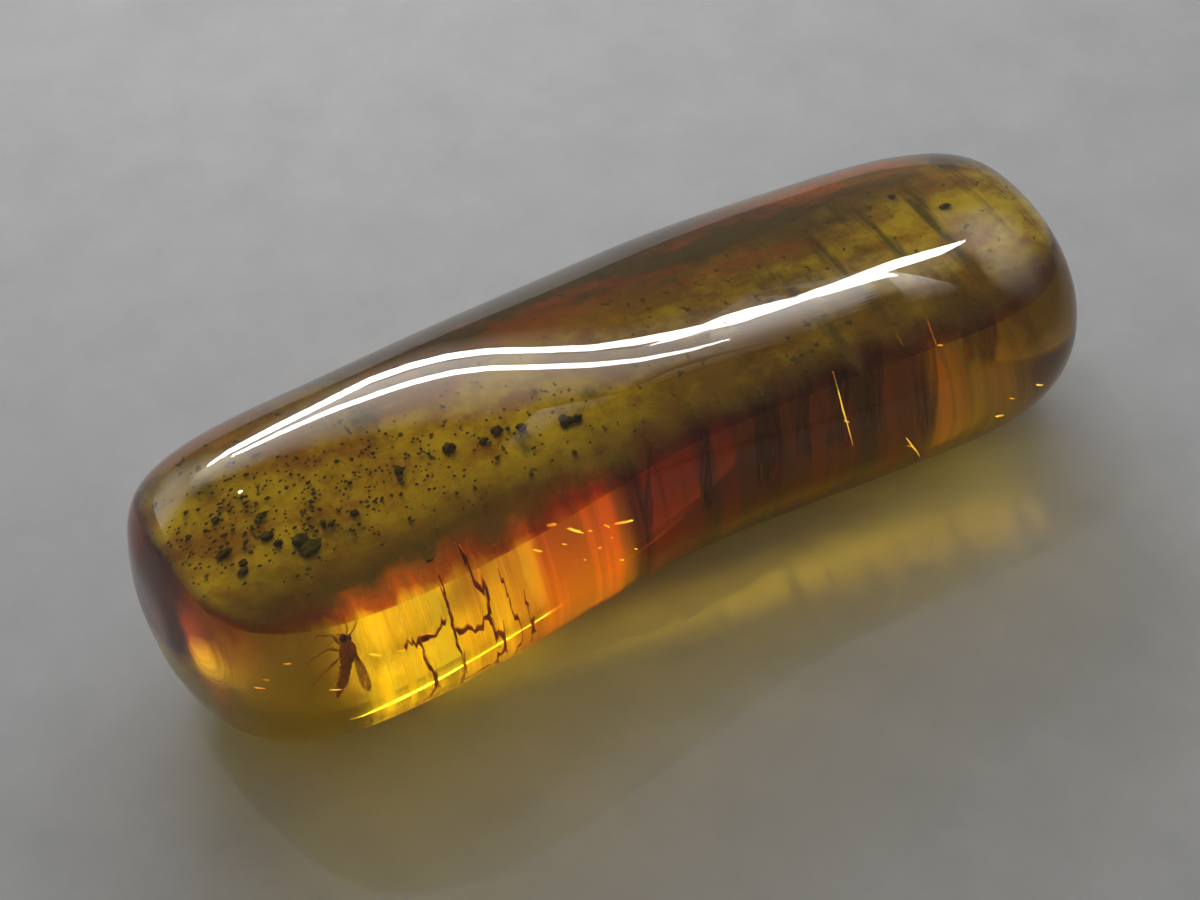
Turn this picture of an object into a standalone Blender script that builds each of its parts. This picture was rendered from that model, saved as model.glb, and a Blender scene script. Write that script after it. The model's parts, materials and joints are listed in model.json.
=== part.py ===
"""A polished baton of clear amber with a small gnat sealed near one end.

Metres, +Z up. The length runs along X, the underside is a polished flat at Z = 0, and the
origin is the middle of that underside. The amber is parted in two at the height of the gnat,
so that the pocket that holds the gnat opens on the parting face.
"""

import bpy
import bmesh
import math
from mathutils import Euler, Vector

MM = 0.001

# ---- driving dimensions of the amber, in mm ----------------------------------------------
# One row for each cross-section, from the blunt left end to the right one:
# place along the length, drift of its middle to the side, height of its middle,
# half width, half height, and how far its crest leans to the side.
SECTIONS = (
    (-25.8, 0.2, 7.8, 3.2, 4.4, 0.0),
    (-24.8, -0.7, 7.9, 6.2, 6.8, 0.0),
    (-21.2, -1.3, 7.9, 7.8, 8.2, 0.0),
    (-15.0, -1.3, 7.8, 8.0, 8.3, 0.0),
    (-8.3, -0.6, 7.5, 8.2, 8.0, 0.0),
    (-1.0, 0.4, 7.0, 8.0, 7.5, -0.6),
    (6.2, 0.6, 6.6, 8.8, 7.0, -1.2),
    (13.5, 0.1, 6.3, 9.0, 6.7, -1.3),
    (20.3, -0.4, 6.2, 9.0, 6.5, -1.4),
    (24.8, 0.1, 6.1, 7.2, 5.2, 0.0),
    (25.8, 1.8, 6.0, 3.9, 3.4, 0.0),
)
CREST = 0.9                # share of the half height above which a section leans
POINTS_AROUND = 16
SQUARENESS = 2.25          # 2 is an ellipse, more is boxier
END_DOME = 0.35            # how far the middle of each end stands out
BELLY = 1.2                # the cage is pressed level wherever it hangs lower than this
BELLY_LEVEL = -0.25        # level it is pressed to, below the polished flat at 0
SMOOTHING = 2

# ---- where the gnat lies: its head points up and back, its legs to the left end ----------
GNAT_PLACE = (-19.0, -4.4, 6.7)                             # mm
GNAT_ROLL, GNAT_PITCH, GNAT_HEADING = 62.0, -42.0, 58.0     # degrees
POCKET_RADII = (2.1, 1.55, 1.75)

# ---- the flow layer where the two coats meet, in mm ----------------------------------------
GAP = 0.3
LAYER_HEIGHT = 11.0        # over the middle of the underside
LAYER_TILT = 2.0           # degrees: the layer falls to the right
DROP_RADII = (4.5, 3.0, 5.0)
DROP_PLACE = (GNAT_PLACE[0], GNAT_PLACE[1], GNAT_PLACE[2] + DROP_RADII[2])
CUT_BOX = (80.0, 40.0)     # larger than the amber both ways
CUT_TOP = 30.0

# ---- the gnat's own sizes, in mm, in its own frame: +X to the head, +Z to the back ---------
THORAX = ((0.42, 0.0, 0.08), (0.42, 0.31, 0.37))            # middle, radii
HEAD = ((0.88, 0.0, -0.10), (0.21, 0.23, 0.22))
EYE_RADII = (0.14, 0.10, 0.16)
EYE_PLACE = (0.92, 0.15, -0.06)
ABDOMEN_RINGS = 6
ABDOMEN_START, ABDOMEN_END = (0.02, 0.02), (-1.36, -0.26)   # along, height
ABDOMEN_GIRTH = (0.27, 0.11)                                # half width at each end
RING_LENGTH = 0.21                                          # half of one ring
WING_LENGTH, WING_WIDTH, WING_THICKNESS = 1.95, 0.86, 0.08
WING_WAIST = 0.45            # share of its width that a wing keeps towards the root
WING_POINTS = 22
WING_ROOT = (0.42, 0.17, 0.26)
WING_SWEEP, WING_LIFT = 160.0, 12.0                         # degrees
LEG_THICKNESS = 0.10
LEG_TAPER = 0.75
LEGS = (                                                    # hip, knee, ankle, toe
    ((0.62, 0.13, -0.16), (0.98, 0.42, -0.34), (1.02, 0.52, -0.98), (0.78, 0.50, -1.26)),
    ((0.45, 0.16, -0.20), (0.50, 0.62, -0.30), (0.24, 0.66, -1.02), (-0.08, 0.62, -1.28)),
    ((0.26, 0.13, -0.16), (-0.22, 0.56, -0.34), (-0.76, 0.62, -0.90), (-1.14, 0.62, -1.06)),
)
RIGHT_LEG_SPREAD = 0.88
FEELER = ((1.00, 0.08, 0.04), (1.26, 0.20, 0.22), (1.54, 0.38, 0.20))
FEELER_THICKNESS = 0.08


def clear_scene():
    for thing in list(bpy.data.objects):
        bpy.data.objects.remove(thing)


def new_collection(name):
    collection = bpy.data.collections.new(name)
    bpy.context.scene.collection.children.link(collection)
    return collection


def millimetres(point):
    return Vector(point) * MM


def make_object(name, mesh, collection):
    thing = bpy.data.objects.new(name, mesh)
    collection.objects.link(thing)
    return thing


def hide_as_tool(thing):
    thing.hide_render = True
    thing.display_type = "WIRE"
    return thing


# ---- materials -----------------------------------------------------------------------------

def principled(name, colour, roughness, transmission=0.0, ior=1.5):
    material = bpy.data.materials.new(name)
    material.use_nodes = True
    shader = material.node_tree.nodes["Principled BSDF"]
    shader.inputs["Base Color"].default_value = (*colour, 1.0)
    shader.inputs["Roughness"].default_value = roughness
    shader.inputs["Metallic"].default_value = 0.0
    shader.inputs["Transmission Weight"].default_value = transmission
    shader.inputs["IOR"].default_value = ior
    return material


# ---- the amber -------------------------------------------------------------------------------

def section_point(section, step):
    """One point of a rounded-square cross-section."""
    along, drift, middle, half_width, half_height, lean = section
    turn = 2.0 * math.pi * step / POINTS_AROUND
    power = 2.0 / SQUARENESS
    across = math.copysign(abs(math.cos(turn)) ** power, math.cos(turn))
    upward = math.copysign(abs(math.sin(turn)) ** power, math.sin(turn))
    if upward > CREST:
        drift += lean
    return Vector((along, drift + half_width * across, middle + half_height * upward))


def close_end(mesh, along):
    """Fills one open end with a grid, in edit mode, and domes its middle outwards."""
    bpy.ops.mesh.select_mode(type="VERT")
    bpy.ops.mesh.select_all(action="DESELECT")
    edit = bmesh.from_edit_mesh(mesh)
    for vert in edit.verts:
        vert.select = abs(vert.co.x - along * MM) < 1e-6
    edit.select_flush(True)
    rim = {vert.index for vert in edit.verts if vert.select}
    bmesh.update_edit_mesh(mesh)
    bpy.ops.mesh.select_mode(type="EDGE")
    bpy.ops.mesh.fill_grid(span=POINTS_AROUND // 4)
    edit = bmesh.from_edit_mesh(mesh)
    for vert in edit.verts:
        if abs(vert.co.x - along * MM) < 1e-6 and vert.index not in rim:
            vert.co.x += math.copysign(END_DOME * MM, along)
    bmesh.update_edit_mesh(mesh)


def amber_cage(name, collection):
    """The coarse cage of the whole baton: rings of points, faces between them, closed ends."""
    mesh = bpy.data.meshes.new(name)
    edit = bmesh.new()
    rings = [
        [edit.verts.new(section_point(section, step) * MM) for step in range(POINTS_AROUND)]
        for section in SECTIONS
    ]
    for near, far in zip(rings, rings[1:]):
        for step in range(POINTS_AROUND):
            after = (step + 1) % POINTS_AROUND
            edit.faces.new((near[step], far[step], far[after], near[after]))
    edit.verts.index_update()
    edit.to_mesh(mesh)
    edit.free()
    baton = make_object(name, mesh, collection)

    bpy.context.view_layer.objects.active = baton
    bpy.ops.object.mode_set(mode="EDIT")
    close_end(mesh, SECTIONS[0][0])
    close_end(mesh, SECTIONS[-1][0])
    bpy.ops.mesh.select_all(action="SELECT")
    bpy.ops.mesh.normals_make_consistent(inside=False)
    bpy.ops.object.mode_set(mode="OBJECT")
    for vert in mesh.vertices:
        if vert.co.z < BELLY * MM:
            vert.co.z = BELLY_LEVEL * MM
    return baton


def add_smoothing(baton):
    smooth = baton.modifiers.new("polish", "SUBSURF")
    smooth.levels = smooth.render_levels = SMOOTHING


def add_boolean(thing, operation, tool):
    cut = thing.modifiers.new(f"{operation.lower()} {tool.name}", "BOOLEAN")
    cut.operation = operation
    cut.solver = "EXACT"
    cut.object = tool


def slab(name, low, high, tools):
    """A box tool that keeps what lies between two heights."""
    bpy.ops.mesh.primitive_cube_add(size=1.0, location=(0.0, 0.0, 0.5 * (low + high) * MM))
    box = bpy.context.object
    box.name = name
    box.scale = millimetres((*CUT_BOX, high - low))
    for collection in list(box.users_collection):
        collection.objects.unlink(box)
    tools.objects.link(box)
    return hide_as_tool(box)


def ellipsoid(name, middle, radii, collection, around=12, rings=8):
    mesh = bpy.data.meshes.new(name)
    edit = bmesh.new()
    bmesh.ops.create_uvsphere(edit, u_segments=around, v_segments=rings, radius=1.0)
    for vert in edit.verts:
        vert.co = Vector(middle) + Vector(c * r for c, r in zip(vert.co, radii))
        vert.co *= MM
    edit.to_mesh(mesh)
    edit.free()
    return make_object(name, mesh, collection)


def lay_as_gnat(thing):
    thing.location = millimetres(GNAT_PLACE)
    thing.rotation_euler = Euler(
        [math.radians(angle) for angle in (GNAT_ROLL, GNAT_PITCH, GNAT_HEADING)], "XYZ"
    )
    return thing


def later_coat(name, clearance, tools):
    """A tool for the later coat: all above the flow layer, and the drop over the gnat."""
    radii = [radius - clearance for radius in DROP_RADII]
    drop = hide_as_tool(ellipsoid(name, DROP_PLACE, radii, tools, around=24, rings=16))
    above = slab(f"{name} sheet", LAYER_HEIGHT + clearance, CUT_TOP, tools)
    above.rotation_euler.y = math.radians(LAYER_TILT)
    add_boolean(drop, "UNION", above)
    return drop


def make_amber(parts, tools):
    pocket = ellipsoid("pocket", (0.0, 0.0, 0.0), POCKET_RADII, tools, around=20, rings=12)
    lay_as_gnat(hide_as_tool(pocket))
    ground_flat = slab("ground flat", 0.0, CUT_TOP, tools)
    resin = principled("amber resin", (0.62, 0.27, 0.03), 0.05, transmission=1.0, ior=1.54)
    for name in ("amber_lower", "amber_upper"):
        half = amber_cage(name, parts)
        add_smoothing(half)
        if name == "amber_lower":
            add_boolean(half, "INTERSECT", ground_flat)
            add_boolean(half, "DIFFERENCE", later_coat("room for later coat", -GAP / 2, tools))
        else:
            add_boolean(half, "INTERSECT", later_coat("later coat", GAP / 2, tools))
        add_boolean(half, "DIFFERENCE", pocket)
        half.data.materials.append(resin)
        half.data.shade_smooth()


# ---- the gnat ----------------------------------------------------------------------------------

def rod(name, points, thickness, tools, taper=1.0):
    """A thin leg or feeler: a tube along a few joints, made a closed mesh."""
    curve = bpy.data.curves.new(name, "CURVE")
    curve.dimensions = "3D"
    curve.bevel_depth = thickness / 2 * MM
    curve.bevel_resolution = 1
    curve.use_fill_caps = True
    spline = curve.splines.new("POLY")
    spline.points.add(len(points) - 1)
    last = len(points) - 1
    for number, (point, place) in enumerate(zip(spline.points, points)):
        point.co = (*millimetres(place), 1.0)
        point.radius = 1.0 + (taper - 1.0) * number / last
    drawn = make_object(name + " line", curve, tools)
    return closed_mesh(name, drawn, tools)


def closed_mesh(name, drawn, tools):
    """Turns a curve object into a mesh whose caps are welded on."""
    graph = bpy.context.evaluated_depsgraph_get()
    mesh = bpy.data.meshes.new_from_object(drawn.evaluated_get(graph))
    mesh.name = name
    edit = bmesh.new()
    edit.from_mesh(mesh)
    bmesh.ops.remove_doubles(edit, verts=edit.verts, dist=1e-7)
    bmesh.ops.recalc_face_normals(edit, faces=edit.faces)
    edit.to_mesh(mesh)
    edit.free()
    bpy.data.objects.remove(drawn)
    return make_object(name, mesh, tools)


def wing(name, side, tools):
    """A flat oar-shaped plate, drawn along +X, then swept back and lifted."""
    outline = []
    for step in range(WING_POINTS):
        turn = 2.0 * math.pi * step / WING_POINTS
        share = 0.5 * (1.0 - math.cos(turn))
        breadth = 0.5 * WING_WIDTH * math.sin(turn) * (WING_WAIST + (1.0 - WING_WAIST) * share)
        outline.append((share * WING_LENGTH, breadth))
    curve = bpy.data.curves.new(name, "CURVE")
    curve.dimensions = "2D"
    curve.fill_mode = "BOTH"
    curve.extrude = WING_THICKNESS / 2 * MM
    spline = curve.splines.new("POLY")
    spline.points.add(len(outline) - 1)
    for point, (along, across) in zip(spline.points, outline):
        point.co = (along * MM, across * MM, 0.0, 1.0)
    spline.use_cyclic_u = True
    plate = closed_mesh(name, make_object(name + " line", curve, tools), tools)
    turn = Euler((0.0, -math.radians(WING_LIFT), side * math.radians(WING_SWEEP)), "XYZ")
    plate.data.transform(turn.to_matrix().to_4x4())
    root = Vector((WING_ROOT[0], side * WING_ROOT[1], WING_ROOT[2])) * MM
    for vert in plate.data.vertices:
        vert.co += root
    return plate


def abdomen_rings(tools):
    """The abdomen: overlapping rings that thin out and sag towards the tail."""
    made = []
    for number in range(ABDOMEN_RINGS):
        share = number / (ABDOMEN_RINGS - 1)
        along = ABDOMEN_START[0] + (ABDOMEN_END[0] - ABDOMEN_START[0]) * share
        height = ABDOMEN_START[1] + (ABDOMEN_END[1] - ABDOMEN_START[1]) * share ** 1.6
        girth = ABDOMEN_GIRTH[0] + (ABDOMEN_GIRTH[1] - ABDOMEN_GIRTH[0]) * share ** 1.8
        radii = (RING_LENGTH, girth, girth)
        made.append(ellipsoid(f"ring {number}", (along, 0.0, height), radii, tools, 12, 6))
    return made


def mirrored(points, spread=1.0):
    return [(x, -y * spread, z) for x, y, z in points]


def make_gnat(parts, tools):
    gnat = ellipsoid("insect", *THORAX, parts, around=14, rings=10)
    pieces = [ellipsoid("head", *HEAD, tools)]
    for side in (1, -1):
        eye = (EYE_PLACE[0], side * EYE_PLACE[1], EYE_PLACE[2])
        pieces.append(ellipsoid(f"eye {side}", eye, EYE_RADII, tools, 10, 6))
    pieces += abdomen_rings(tools)
    for number, leg in enumerate(LEGS):
        pieces.append(rod(f"left leg {number}", leg, LEG_THICKNESS, tools, LEG_TAPER))
        other = mirrored(leg, RIGHT_LEG_SPREAD)
        pieces.append(rod(f"right leg {number}", other, LEG_THICKNESS, tools, LEG_TAPER))
    pieces.append(rod("left feeler", FEELER, FEELER_THICKNESS, tools))
    pieces.append(rod("right feeler", mirrored(FEELER), FEELER_THICKNESS, tools))
    pieces += [wing("left wing", 1, tools), wing("right wing", -1, tools)]
    lay_as_gnat(gnat)
    for piece in pieces:
        lay_as_gnat(hide_as_tool(piece))
        add_boolean(gnat, "UNION", piece)
    gnat.data.materials.append(principled("gnat body", (0.045, 0.022, 0.010), 0.45))
    gnat.data.shade_smooth()


clear_scene()
insect_in_amber = new_collection("insect_in_amber")
shaping_tools = new_collection("shaping_tools")
make_amber(insect_in_amber, shaping_tools)
make_gnat(insect_in_amber, shaping_tools)
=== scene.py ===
"""A polished baton of amber with a gnat sealed in it, on a pale studio floor."""

import json
import math
import random

import bmesh
import bpy
from mathutils import Euler, Matrix, Vector
from mathutils.interpolate import poly_3d_calc

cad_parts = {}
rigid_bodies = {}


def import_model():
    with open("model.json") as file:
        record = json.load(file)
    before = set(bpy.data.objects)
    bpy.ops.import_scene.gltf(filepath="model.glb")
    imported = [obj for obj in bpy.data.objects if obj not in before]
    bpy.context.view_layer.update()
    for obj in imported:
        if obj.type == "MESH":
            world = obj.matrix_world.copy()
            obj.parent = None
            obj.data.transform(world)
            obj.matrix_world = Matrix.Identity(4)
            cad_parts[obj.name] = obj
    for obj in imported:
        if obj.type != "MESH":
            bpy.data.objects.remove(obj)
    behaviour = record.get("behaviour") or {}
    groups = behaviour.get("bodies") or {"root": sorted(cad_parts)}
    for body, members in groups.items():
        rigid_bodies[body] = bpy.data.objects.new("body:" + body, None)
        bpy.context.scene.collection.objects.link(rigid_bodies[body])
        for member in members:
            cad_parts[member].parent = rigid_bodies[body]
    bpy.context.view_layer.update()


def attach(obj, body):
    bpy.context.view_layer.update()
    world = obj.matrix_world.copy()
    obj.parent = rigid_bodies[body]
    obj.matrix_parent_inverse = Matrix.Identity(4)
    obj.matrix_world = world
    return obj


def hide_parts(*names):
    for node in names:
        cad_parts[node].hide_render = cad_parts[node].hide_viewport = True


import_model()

MM = 0.001

# ---- camera ----------------------------------------------------------
# A long lens close to the piece, looking down on it from its left front corner.
CAMERA_AZIMUTH, CAMERA_ELEVATION = -31.4, 48.0  # degrees
CAMERA_DISTANCE = 116.2 * MM
CAMERA_LENS, CAMERA_SENSOR = 70.0, 36.0  # mm
CAMERA_AIM = Vector((-2.8, -2.05, 7.95)) * MM
CAMERA_NEAREST, CAMERA_FARTHEST = 1 * MM, 20.0  # m: what it sees lies between them


def direction(azimuth, elevation):
    """Unit vector towards a place round the object: azimuth 0 is -Y, 90 is +X."""
    turn, lift = math.radians(azimuth), math.radians(elevation)
    return Vector((
        math.sin(turn) * math.cos(lift), -math.cos(turn) * math.cos(lift), math.sin(lift)
    ))


def face(thing, place, aim):
    """Puts a camera or a lamp at a place, turned to look at its aim."""
    thing.location = place
    thing.rotation_euler = (place - aim).to_track_quat("Z", "Y").to_euler()


camera = bpy.data.objects.new("camera", bpy.data.cameras.new("camera"))
bpy.context.scene.collection.objects.link(camera)
camera.data.lens = CAMERA_LENS
camera.data.sensor_width = CAMERA_SENSOR
camera.data.clip_start = CAMERA_NEAREST
camera.data.clip_end = CAMERA_FARTHEST
camera_away = direction(CAMERA_AZIMUTH, CAMERA_ELEVATION)
face(camera, CAMERA_AIM + camera_away * CAMERA_DISTANCE, CAMERA_AIM)
bpy.context.scene.camera = camera
bpy.context.scene.view_settings.view_transform = "Standard"

# ---- floor -----------------------------------------------------------
# A plain pale studio floor of matt board, faintly mottled. It lies a hair below the polished
# underside, so that the two faces never share a plane.
FLOOR_SIZE = 6.0
FLOOR_DROP = 0.02 * MM
FLOOR_DARK, FLOOR_LIGHT = (0.26, 0.265, 0.27, 1), (0.35, 0.35, 0.355, 1)
FLOOR_MOTTLE, FLOOR_ROUGHNESS = 220.0, 0.75  # its clouds in cycles a metre


class Wire:
    """A socket in a material's nodes. Sums and products of wires add Math nodes."""

    def __init__(self, tree, socket=None):
        self.tree, self.socket = tree, socket

    def node(self, kind, settings=None, sockets=None, out=0):
        """Adds a node, sets it up, then feeds its sockets with values or wires."""
        made = self.tree.nodes.new("ShaderNode" + kind)
        for name, value in (settings or {}).items():
            if name == "stops":
                stops = made.color_ramp.elements
                while len(stops) < len(value):
                    stops.new(0.5)
                for stop, (place, colour) in zip(stops, value):
                    stop.position, stop.color = place, colour
            else:
                setattr(made, name, value)
        for name, value in (sockets or {}).items():
            if isinstance(value, Wire):
                self.tree.links.new(value.socket, made.inputs[name])
            else:
                made.inputs[name].default_value = value
        return Wire(self.tree, made.outputs[out] if made.outputs else None)

    def maths(self, operation, *values):
        return self.node("Math", {"operation": operation}, dict(enumerate(values)))

    def __add__(self, other):
        return self.maths("ADD", self, other)

    def __sub__(self, other):
        return self.maths("SUBTRACT", self, other)

    def __rsub__(self, other):
        return self.maths("SUBTRACT", other, self)

    def __mul__(self, other):
        return self.maths("MULTIPLY", self, other)

    __radd__, __rmul__ = __add__, __mul__

    def clip(self, low, high, start=0.0, end=1.0):
        """Spreads low..high over start..end, and stays inside them."""
        return self.node("MapRange", {}, {0: self, 1: low, 2: high, 3: start, 4: end})

    def most(self, other):
        """The larger of two."""
        return self.maths("MAXIMUM", self, other)

    def shaken(self, cloud, reach):
        """Moved to and fro by a cloud, over a reach in all."""
        return self + (cloud - 0.5) * reach


def new_material(name):
    """An empty material, and a bare wire to build its nodes on."""
    made = bpy.data.materials.new(name)
    made.use_nodes = True
    made.node_tree.nodes.clear()
    return made, Wire(made.node_tree)


def noise(wire, place, scale, detail=5.0, roughness=0.6, stretch=(1, 1, 1)):
    """Cloudy noise on the piece's own coordinates, in cycles a metre."""
    spread = wire.node("Mapping", {}, {"Vector": place, "Scale": stretch})
    return wire.node("TexNoise", {}, {
        "Vector": spread, "Scale": scale, "Detail": detail, "Roughness": roughness,
    })


def blend(wire, share, first, second):
    """A colour between two colours."""
    return wire.node("Mix", {"data_type": "RGBA"}, {0: share, 6: first, 7: second}, out=2)


def own_place(wire):
    """The piece's own coordinates."""
    return wire.node("TexCoord", out=3)


def matter(wire, colour, roughness, more=None):
    """The surface of a solid stuff; more holds its other sockets."""
    return wire.node("BsdfPrincipled", {}, {
        "Base Color": colour, "Roughness": roughness, **(more or {}),
    })


def put_out(wire, surface, **more):
    """Ends a material's nodes."""
    wire.node("OutputMaterial", {}, {"Surface": surface, **more})


def unpick():
    """Object mode: leaves nothing chosen."""
    bpy.ops.object.select_all(action="DESELECT")


unpick()
bpy.ops.mesh.primitive_plane_add(size=FLOOR_SIZE, location=(0, 0, -FLOOR_DROP))
floor = bpy.context.object
floor.name = "floor"
board, wire = new_material("pale board")
mottle = noise(wire, own_place(wire), FLOOR_MOTTLE, 6.0)
put_out(wire, matter(wire, blend(wire, mottle, FLOOR_DARK, FLOOR_LIGHT), FLOOR_ROUGHNESS))
floor.data.materials.append(board)

# ---- the amber -------------------------------------------------------
# A baton of clear golden resin, ground round and polished all over, with a small flat ground
# under it. It is one lofted body: a ring of points for each cross-section, closed by domed ends.
SECTIONS = (  # mm: place along, drift aside, middle's height, half width and height, crest's lean
    (-25.8, 0.2, 7.8, 3.2, 4.4, 0.0),
    (-24.8, -0.7, 7.9, 6.2, 6.8, 0.0),
    (-21.2, -1.3, 7.9, 7.8, 8.2, 0.0),
    (-15.0, -1.3, 7.8, 8.0, 8.3, 0.0),
    (-8.3, -0.6, 7.5, 8.2, 8.0, 0.0),
    (-1.0, 0.4, 7.0, 8.0, 7.5, -0.6),
    (6.2, 0.6, 6.6, 8.8, 7.0, -1.2),
    (13.5, 0.1, 6.3, 9.0, 6.7, -1.3),
    (20.3, -0.4, 6.2, 9.0, 6.5, -1.4),
    (24.8, 0.1, 6.1, 7.2, 5.2, 0.0),
    (25.8, 1.8, 6.0, 3.9, 3.4, 0.0),
)
CREST = 0.9  # share of the half height above which a section leans
POINTS_AROUND = 16
SQUARENESS = 2.25  # 2 is an ellipse, more is boxier
END_DOME = 0.35
BELLY, BELLY_LEVEL = 1.2, -0.25  # mm: points below the one go down to the other
POLISH_LEVELS = 4
SAME = 0.01 * MM  # points closer than this count as one place
AMBER_IOR = 1.54
RESIN_COLOUR, RESIN_DENSITY = (0.95, 0.885, 0.10, 1), 340.0  # its tint, and how dense a metre is
LAMPLIGHT_COLOUR = (0.52, 0.52, 0.22, 1)  # what each face lets through of a lamp's light


def layered(wire, share, under, over):
    """Two shaders, the second one covering the first by a share."""
    return wire.node("MixShader", {}, {0: share, 1: under, 2: over})


def sheer(wire, colour=(1, 1, 1, 1)):
    """A stuff that lets light straight through, tinted."""
    return wire.node("BsdfTransparent", {}, {"Color": colour})


def lamplit(wire, seen, let_through):
    """A surface as it is seen, and what it lets through of the light of the lamps behind it."""
    return layered(wire, wire.node("LightPath", out=1), seen, let_through)


def choose(thing, test):
    """In edit mode: leaves chosen the points of a mesh that pass a test on their place."""
    bpy.ops.mesh.select_mode(type="VERT")
    bpy.ops.mesh.select_all(action="DESELECT")
    edit = bmesh.from_edit_mesh(thing.data)
    for vert in edit.verts:
        vert.select = test(vert.co)
    edit.select_flush(True)
    bmesh.update_edit_mesh(thing.data)


unpick()
bpy.ops.mesh.primitive_circle_add(
    vertices=POINTS_AROUND, radius=1 * MM, rotation=(0, math.pi / 2, 0)
)
amber = bpy.context.object
amber.name = "amber"
bpy.ops.object.transform_apply(location=True, rotation=True, scale=True)
bpy.ops.object.mode_set(mode="EDIT")
for step in range(1, POINTS_AROUND // 4):
    turn = 2 * math.pi * step / POINTS_AROUND
    across, upward = math.cos(turn), math.sin(turn)
    choose(amber, lambda co: abs(abs(co.y) - across * MM) < SAME)
    power = 2 / SQUARENESS
    bpy.ops.transform.resize(
        value=(1, across ** power / across, upward ** power / upward), center_override=(0, 0, 0)
    )
bpy.ops.mesh.select_all(action="SELECT")
before = (0.0, 0.0, 0.0, 1.0, 1.0)
for number, (along, drift, middle, half_width, half_height, _) in enumerate(SECTIONS):
    if number:
        bpy.ops.mesh.extrude_region_move()
    centre = Vector((along, drift, middle))
    bpy.ops.transform.translate(value=(centre - Vector(before[:3])) * MM)
    bpy.ops.transform.resize(
        value=(1, half_width / before[3], half_height / before[4]), center_override=centre * MM
    )
    before = (*centre, half_width, half_height)
for along, _, middle, _, half_height, lean in SECTIONS:
    if lean:
        crest = (middle + CREST * half_height) * MM
        choose(amber, lambda co: abs(co.x - along * MM) < SAME and co.z > crest)
        bpy.ops.transform.translate(value=(0, lean * MM, 0))
for end in (SECTIONS[0][0], SECTIONS[-1][0]):
    choose(amber, lambda co: abs(co.x - end * MM) < SAME)
    bpy.ops.mesh.select_mode(type="EDGE")
    bpy.ops.mesh.fill_grid(span=POINTS_AROUND // 4)
    bpy.ops.mesh.select_mode(type="VERT")
    bpy.ops.mesh.select_less()
    bpy.ops.transform.translate(value=(math.copysign(END_DOME * MM, end), 0, 0))
choose(amber, lambda co: co.z < BELLY * MM)
bpy.ops.transform.resize(value=(1, 1, 0), center_override=(0, 0, BELLY_LEVEL * MM))
bpy.ops.mesh.select_all(action="SELECT")
bpy.ops.mesh.normals_make_consistent(inside=False)
bpy.ops.object.mode_set(mode="OBJECT")
polish = amber.modifiers.new("polish", "SUBSURF")
polish.levels = polish.render_levels = POLISH_LEVELS
bpy.ops.object.modifier_apply(modifier=polish.name)
bpy.ops.object.mode_set(mode="EDIT")
choose(amber, lambda co: co.z < 0)
bpy.ops.transform.resize(value=(1, 1, 0), center_override=(0, 0, 0))
bpy.ops.object.mode_set(mode="OBJECT")
amber.data.shade_smooth()

resin, wire = new_material("clear amber")
glass = matter(wire, (1, 1, 1, 1), 0.0, {"IOR": AMBER_IOR, "Transmission Weight": 1.0})
put_out(
    wire, lamplit(wire, glass, sheer(wire, LAMPLIGHT_COLOUR)),
    Volume=wire.node("VolumeAbsorption", {}, {"Color": RESIN_COLOUR, "Density": RESIN_DENSITY}),
)
amber.data.materials.append(resin)
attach(amber, "root")
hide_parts("amber_lower", "amber_upper")

# ---- the flow layer --------------------------------------------------
# Resin runs down a tree in coats, and dust settles on one before the next covers it. This face,
# where the halves of the amber meet, lies nearly level under the crest: olive silt, redder at the
# back and browner in front. It closes over the drop that hangs down to the gnat.
LAYER_HEIGHT, LAYER_TILT = 11.0, 2.0  # mm over the middle, degrees down to the right
LAYER_ENDS = (-24.6, 24.6)
LAYER_INSET, LAYER_GRID = 0.25 * MM, (200, 60)
SILT_OLIVE, SILT_OCHRE = (0.37, 0.268, 0.010, 1), (0.21, 0.090, 0.007, 1)
SILT_UMBER = (0.11, 0.045, 0.006, 1)
SILT_BACK_DARK, SILT_BACK_RED = (0.040, 0.015, 0.004, 1), (0.15, 0.020, 0.005, 1)
SILT_BROWN, SILT_DARK = (0.060, 0.020, 0.001, 1), (0.020, 0.013, 0.004, 1)
SILT_TINT, SILT_LAMPLIGHT = (0.30, 0.13, 0.015, 1), (0.70, 0.62, 0.30, 1)
SILT_THIN, SILT_ROUGHNESS = (0.46, 0.14, 0.02, 1), 0.8
SILT_BACK, SILT_DEEP_BACK = (0.5, 3.5), (4.6, 6.4)  # mm to the back: it turns red, then dark
SILT_FRONT = (-5.6, -2.6)  # mm: it turns brown towards the front
UMBER_FROM, UMBER_TO, COMBED_FROM = (-8.0, 2.0), (13.0, 18.0), (6.0, 10.0)  # mm along
OUTSIDE = 60 * MM  # farther than the amber reaches


def through(origin, way):
    """Where a line enters and leaves the amber."""
    origin, way = Vector(origin), Vector(way).normalized()
    _, enter, _, _ = amber.ray_cast(origin - way * OUTSIDE, way)
    _, leave, _, _ = amber.ray_cast(origin + way * OUTSIDE, -way)
    return enter, leave


def new_sheet(name, across, along, place):
    """A sheet of quads with its own UV map: place(u, v) says where each point lies."""
    unpick()
    bpy.ops.mesh.primitive_grid_add(x_subdivisions=across, y_subdivisions=along, size=1.0)
    made = bpy.context.object
    made.name = name
    for vert in made.data.vertices:
        vert.co = place(vert.co.x + 0.5, vert.co.y + 0.5)
    made.data.shade_smooth()
    return made


def part_way(start, end, share):
    """A number between two numbers."""
    return start + (end - start) * share


def layer_point(u, v):
    """A point of the layer: share along the piece, share across it from the front."""
    along = part_way(*LAYER_ENDS, u)
    height = LAYER_HEIGHT - math.tan(math.radians(LAYER_TILT)) * along
    front, back = through((along * MM, 0, height * MM), (0, 1, 0))
    inset = Vector((0, LAYER_INSET, 0))
    return (front + inset).lerp(back - inset, v)


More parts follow.
